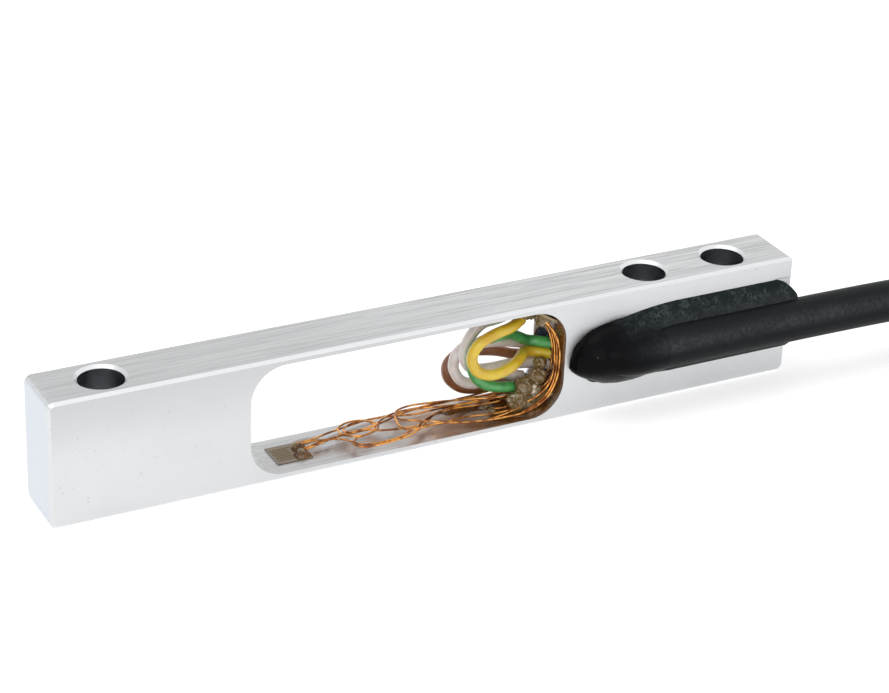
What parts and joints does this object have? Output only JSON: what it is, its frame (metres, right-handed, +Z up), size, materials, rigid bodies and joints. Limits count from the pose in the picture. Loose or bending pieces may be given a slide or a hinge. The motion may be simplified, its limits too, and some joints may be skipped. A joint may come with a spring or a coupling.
{
  "type": "single point load cell",
  "caption": "Slim rectangular aluminium bending-beam load cell with an open window, through bolt holes, bonded strain gauges, resin-sealed cable entry and a looped lead.",
  "frame": {"origin": "centre of the bar's bottom face", "axes": "+X along the bar, towards the end with the pair of holes and the cable; +Z up along the bolt holes; +Y away from the face that the cable lies on"},
  "size_m": [0.1742, 0.0399, 0.013],
  "materials": {
    "body_metal": "bare, fine brushed",
    "core_yellow": "satin",
    "core_green": "satin",
    "core_white": "satin, slightly translucent",
    "core_clear": "translucent",
    "core_brown": "satin",
    "enamelled_copper": "glossy enamel",
    "gauge_film": "glossy film",
    "gauge_foil": "etched foil",
    "solder": "varnished lumps",
    "terminal_board": "varnished",
    "potting_resin": "glossy with dusty patches",
    "lacquer": "glossy, clear amber",
    "jacket": "matte",
    "tie_plastic": "satin",
    "tinned_copper": "bright tinned"
  },
  "bodies": {
    "root": {"bridge_wire_1": "enamelled_copper", "bridge_wire_2": "enamelled_copper", "bridge_wire_3": "enamelled_copper", "bridge_wire_4": "enamelled_copper", "cable_coil": "jacket", "cable_resin": "potting_resin", "cable_run": "jacket", "cable_tail": "jacket", "cable_tie": "tie_plastic", "core_brown": "core_brown", "core_clear": "core_clear", "core_green": "core_green", "core_white": "core_white", "core_yellow": "core_yellow", "far_core_brown": "core_brown", "far_core_clear": "core_clear", "far_core_green": "core_green", "far_core_tips": "tinned_copper", "far_core_white": "core_white", "far_core_yellow": "core_yellow", "gauge_backing_lower_left": "gauge_film", "gauge_backing_lower_right": "gauge_film", "gauge_backing_upper_left": "gauge_film", "gauge_backing_upper_right": "gauge_film", "gauge_foil_lower_left": "gauge_foil", "gauge_foil_lower_right": "gauge_foil", "gauge_foil_upper_left": "gauge_foil", "gauge_foil_upper_right": "gauge_foil", "gauge_solder_lower_left": "solder", "gauge_solder_lower_right": "solder", "gauge_solder_upper_left": "solder", "gauge_solder_upper_right": "solder", "gauge_wire_lower_left_1": "enamelled_copper", "gauge_wire_lower_left_2": "enamelled_copper", "gauge_wire_lower_right_1": "enamelled_copper", "gauge_wire_lower_right_2": "enamelled_copper", "gauge_wire_upper_left_1": "enamelled_copper", "gauge_wire_upper_left_2": "enamelled_copper", "gauge_wire_upper_right_1": "enamelled_copper", "gauge_wire_upper_right_2": "enamelled_copper", "lacquer_coat": "lacquer", "spring_body": "body_metal", "terminal_board_lower": "terminal_board", "terminal_board_upper": "terminal_board", "terminal_solder_lower": "solder", "terminal_solder_upper": "solder"}
  },
  "joints": []
}
